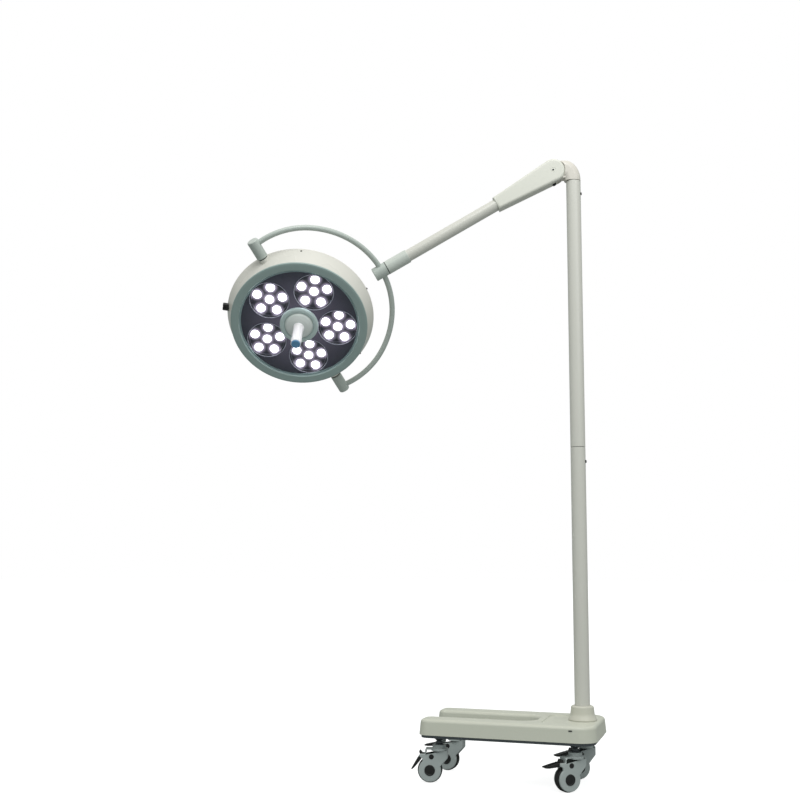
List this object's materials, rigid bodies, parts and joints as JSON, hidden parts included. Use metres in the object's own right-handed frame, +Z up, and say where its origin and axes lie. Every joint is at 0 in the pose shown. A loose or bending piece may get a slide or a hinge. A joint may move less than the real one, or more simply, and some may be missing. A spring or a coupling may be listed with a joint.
{
  "type": "mobile surgical light",
  "caption": "Mobile LED surgical light: wheeled U-shaped base, two-piece pole, balanced swing arm, half-ring yoke and round tilting lamp head with a centre handle.",
  "frame": {"origin": "middle of the bounding box, on the floor", "axes": "+Z up, +X along the base from the open ends of its legs to the pole, +Y across the base"},
  "size_m": [1.168, 0.5496, 1.9465],
  "materials": {
    "cover_paint": "pale grey-green moulded cover, satin",
    "tube_paint": "warm pale grey powder coat",
    "elbow_paint": "warm pale grey powder coat",
    "arm_plastic": "ivory moulded cover, satin",
    "pivot_plastic": "pale grey moulded housing",
    "shell_paint": "ivory moulded shell, satin",
    "bezel_plastic": "grey-green rim",
    "front_glass": "dark smoked front pane",
    "led_lens": "clear lens pack, lit",
    "mint_plastic": "mint grey moulding",
    "white_plastic": "white autoclavable plastic",
    "blue_plastic": "blue end cap",
    "black_plastic": "black moulded plastic",
    "black_screw": "blackened steel",
    "caster_plastic": "grey moulded caster housing",
    "tyre_rubber": "black rubber tread",
    "chassis_steel": "dark painted steel",
    "ballast_iron": "rough casting",
    "zinc_plate": "bright plated metal",
    "heat_sink": "plain aluminium",
    "spring_steel": "oiled spring wire"
  },
  "bodies": {
    "base": {"base_cover": "cover_paint", "base_chassis": "chassis_steel", "counterweight": "ballast_iron", "power_supply": "zinc_plate", "mains_inlet": "black_plastic", "pole_socket": "chassis_steel", "pole_collar": "cover_paint", "lower_pole": "tube_paint", "upper_pole": "tube_paint", "pole_joint_sleeve": "chassis_steel", "lower_pole_screw": "black_screw", "upper_pole_screw": "black_screw", "front_near_stem": "chassis_steel", "front_far_stem": "chassis_steel", "rear_near_stem": "chassis_steel", "rear_far_stem": "chassis_steel"},
    "swivel": {"elbow": "elbow_paint", "arm_pivot_pin": "zinc_plate"},
    "arm": {"arm_cover": "arm_plastic", "arm_tube": "tube_paint", "arm_end_sleeve": "tube_paint", "balance_spring": "spring_steel"},
    "yoke": {"yoke_hub": "tube_paint", "yoke_upper": "tube_paint", "yoke_lower": "tube_paint", "pivot_block_upper": "pivot_plastic", "pivot_block_lower": "pivot_plastic"},
    "head": {"head_back_shell": "shell_paint", "front_bezel": "bezel_plastic", "front_glass": "front_glass", "led_plate": "heat_sink", "lens_module_1": "led_lens", "lens_module_2": "led_lens", "lens_module_3": "led_lens", "lens_module_4": "led_lens", "lens_module_5": "led_lens", "centre_ring": "mint_plastic", "handle_socket": "mint_plastic", "pivot_pin_upper": "zinc_plate", "pivot_pin_lower": "zinc_plate"},
    "handle": {"handle_grip": "white_plastic", "handle_cap": "blue_plastic"},
    "knob": {"control_knob": "black_plastic"},
    "front_near_fork": {"front_near_housing": "caster_plastic", "front_near_axle": "black_plastic"},
    "front_near_roller": {"front_near_wheel": "tyre_rubber"},
    "front_near_brake": {"front_near_pedal": "black_plastic"},
    "front_far_fork": {"front_far_housing": "caster_plastic", "front_far_axle": "black_plastic"},
    "front_far_roller": {"front_far_wheel": "tyre_rubber"},
    "front_far_brake": {"front_far_pedal": "black_plastic"},
    "rear_near_fork": {"rear_near_housing": "caster_plastic", "rear_near_axle": "black_plastic"},
    "rear_near_roller": {"rear_near_wheel": "tyre_rubber"},
    "rear_near_brake": {"rear_near_pedal": "black_plastic"},
    "rear_far_fork": {"rear_far_housing": "caster_plastic", "rear_far_axle": "black_plastic"},
    "rear_far_roller": {"rear_far_wheel": "tyre_rubber"},
    "rear_far_brake": {"rear_far_pedal": "black_plastic"}
  },
  "joints": [
    {"name": "pole_swivel", "type": "hinge", "parent": "base", "child": "swivel", "pos_m": [0.52597, 0.12175, 1.87468], "axis": [0, 0, 1], "range_deg": [-160, 160]},
    {"name": "arm_tilt", "type": "hinge", "parent": "swivel", "child": "arm", "pos_m": [0.46286, 0.10943, 1.90848], "axis": [0.1917, -0.9815, 0], "range_deg": [-45, 15]},
    {"name": "yoke_roll", "type": "hinge", "parent": "arm", "child": "yoke", "pos_m": [-0.08307, 0.00282, 1.59377], "axis": [-0.8542, -0.1668, -0.4924], "range_deg": [-120, 120]},
    {"name": "head_tilt", "type": "hinge", "parent": "yoke", "child": "head", "pos_m": [-0.34557, -0.04845, 1.44245], "axis": [-0.2529, -0.6942, 0.6739], "range_deg": [-100, 100]},
    {"name": "handle_twist", "type": "hinge", "parent": "head", "child": "handle", "pos_m": [-0.33005, -0.09882, 1.39639], "axis": [0.2218, -0.7196, -0.658], "range_deg": [0, 60]},
    {"name": "knob_turn", "type": "hinge", "parent": "head", "child": "knob", "pos_m": [-0.56637, -0.14243, 1.47385], "axis": [-0.9105, -0.3943, 0.1243], "range_deg": [-135, 135]},
    {"name": "front_near_swivel", "type": "hinge", "parent": "base", "child": "front_near_fork", "pos_m": [0.10597, 0.02175, 0.09968], "axis": [0, 0, 1], "continuous": true},
    {"name": "front_near_roll", "type": "hinge", "parent": "front_near_fork", "child": "front_near_roller", "pos_m": [0.07858, 0.01593, 0.03718], "axis": [-0.2079, 0.9781, 0], "continuous": true},
    {"name": "front_near_pedal_press", "type": "hinge", "parent": "front_near_fork", "child": "front_near_brake", "pos_m": [0.0551, 0.01094, 0.07968], "axis": [0.2079, -0.9781, 0], "range_deg": [-46, 0]},
    {"name": "front_far_swivel", "type": "hinge", "parent": "base", "child": "front_far_fork", "pos_m": [0.10597, 0.22175, 0.09968], "axis": [0, 0, 1], "continuous": true},
    {"name": "front_far_roll", "type": "hinge", "parent": "front_far_fork", "child": "front_far_roller", "pos_m": [0.07798, 0.22273, 0.03718], "axis": [0.0349, 0.9994, 0], "continuous": true},
    {"name": "front_far_pedal_press", "type": "hinge", "parent": "front_far_fork", "child": "front_far_brake", "pos_m": [0.054, 0.22357, 0.07968], "axis": [-0.0349, -0.9994, 0], "range_deg": [0, 46]},
    {"name": "rear_near_swivel", "type": "hinge", "parent": "base", "child": "rear_near_fork", "pos_m": [0.51797, 0.02175, 0.09968], "axis": [0, 0, 1], "continuous": true},
    {"name": "rear_near_roll", "type": "hinge", "parent": "rear_near_fork", "child": "rear_near_roller", "pos_m": [0.4959, 0.00451, 0.03718], "axis": [-0.6157, 0.788, 0], "continuous": true},
    {"name": "rear_near_pedal_press", "type": "hinge", "parent": "rear_near_fork", "child": "rear_near_brake", "pos_m": [0.47699, -0.01026, 0.07968], "axis": [0.6157, -0.788, 0], "range_deg": [0, 46]},
    {"name": "rear_far_swivel", "type": "hinge", "parent": "base", "child": "rear_far_fork", "pos_m": [0.51797, 0.22175, 0.09968], "axis": [0, 0, 1], "continuous": true},
    {"name": "rear_far_roll", "type": "hinge", "parent": "rear_far_fork", "child": "rear_far_roller", "pos_m": [0.49532, 0.2053, 0.03718], "axis": [-0.5878, 0.809, 0], "continuous": true},
    {"name": "rear_far_pedal_press", "type": "hinge", "parent": "rear_far_fork", "child": "rear_far_brake", "pos_m": [0.4759, 0.19119, 0.07968], "axis": [0.5878, -0.809, 0], "range_deg": [0, 46]}
  ]
}
